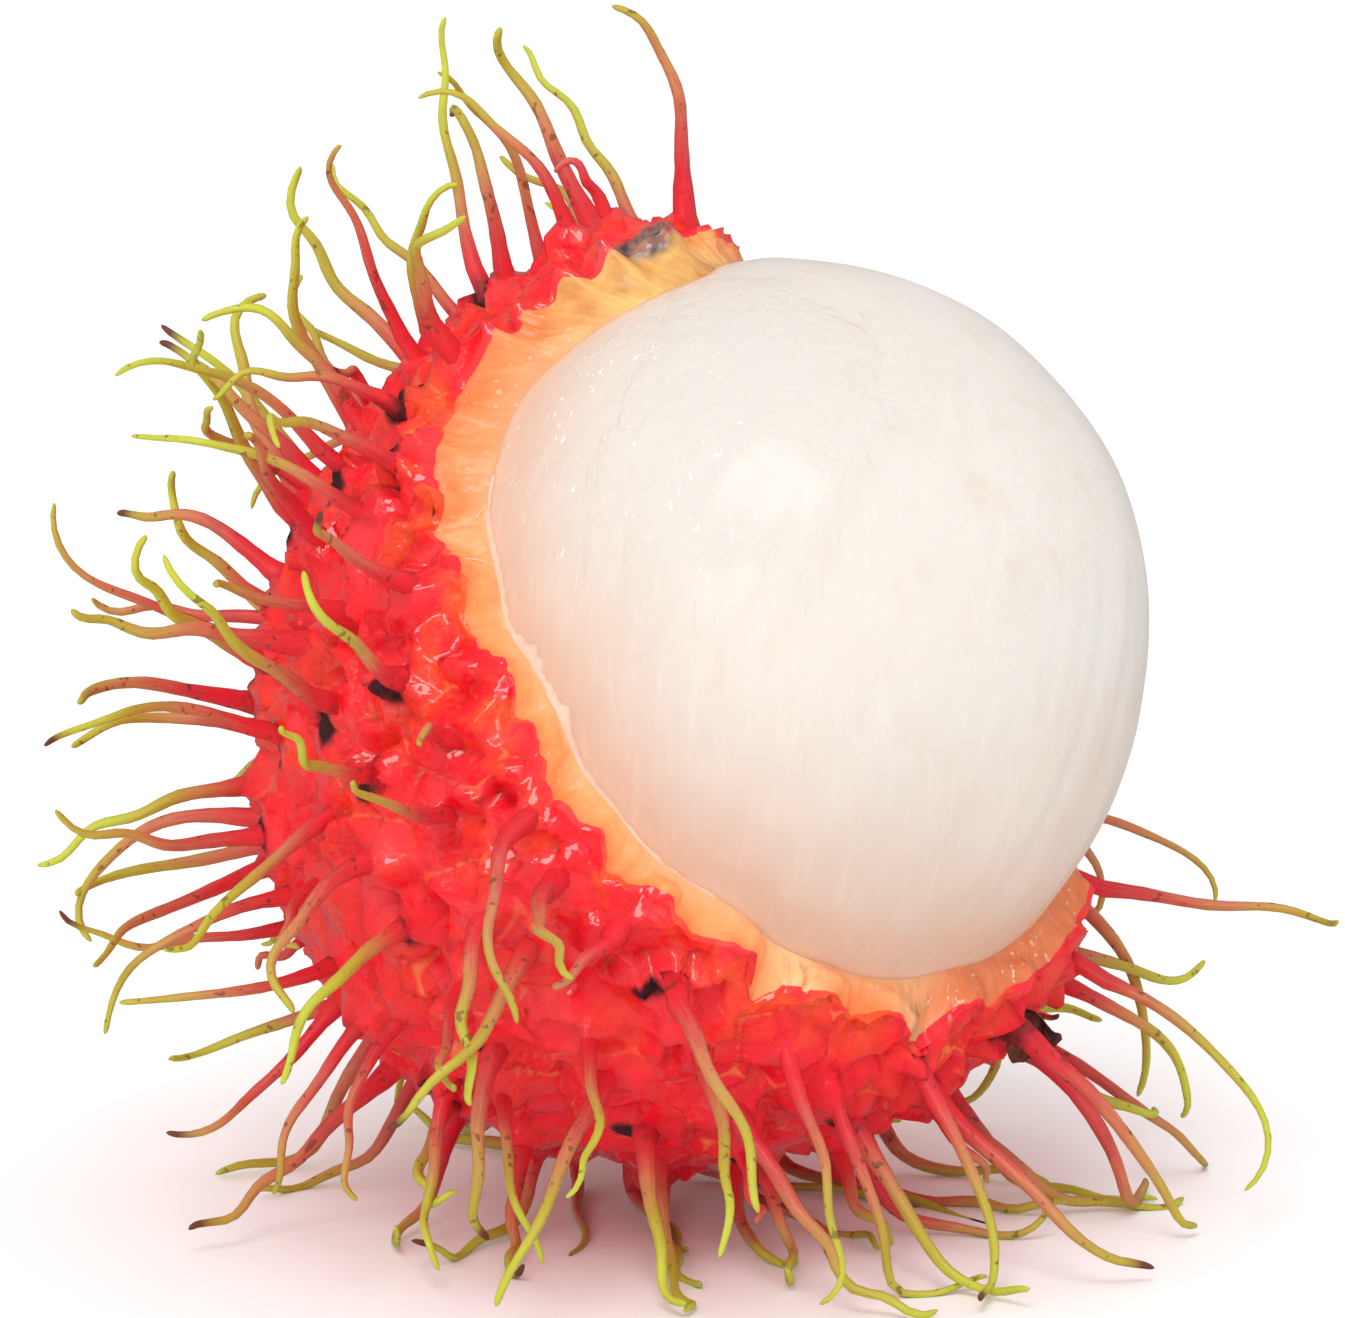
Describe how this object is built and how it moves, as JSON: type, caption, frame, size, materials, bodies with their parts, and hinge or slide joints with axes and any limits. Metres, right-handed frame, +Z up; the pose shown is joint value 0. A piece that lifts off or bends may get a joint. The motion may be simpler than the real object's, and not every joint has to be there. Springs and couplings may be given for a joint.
{
  "type": "rambutan",
  "caption": "Half-peeled rambutan: egg of pale flesh held in a torn, knobbly rind cup covered in soft curling spines.",
  "frame": {"origin": "on the surface the fruit lies on, under the middle of its bounding box", "axes": "+Z up; the opening and the flesh's free end point forward (-Y), to the right (+X) and up"},
  "size_m": [0.0514, 0.0576, 0.0485],
  "materials": {
    "rind": "satin, moist",
    "flesh": "wet gloss"
  },
  "bodies": {
    "root": {"rind": "rind", "flesh": "flesh"}
  },
  "joints": []
}
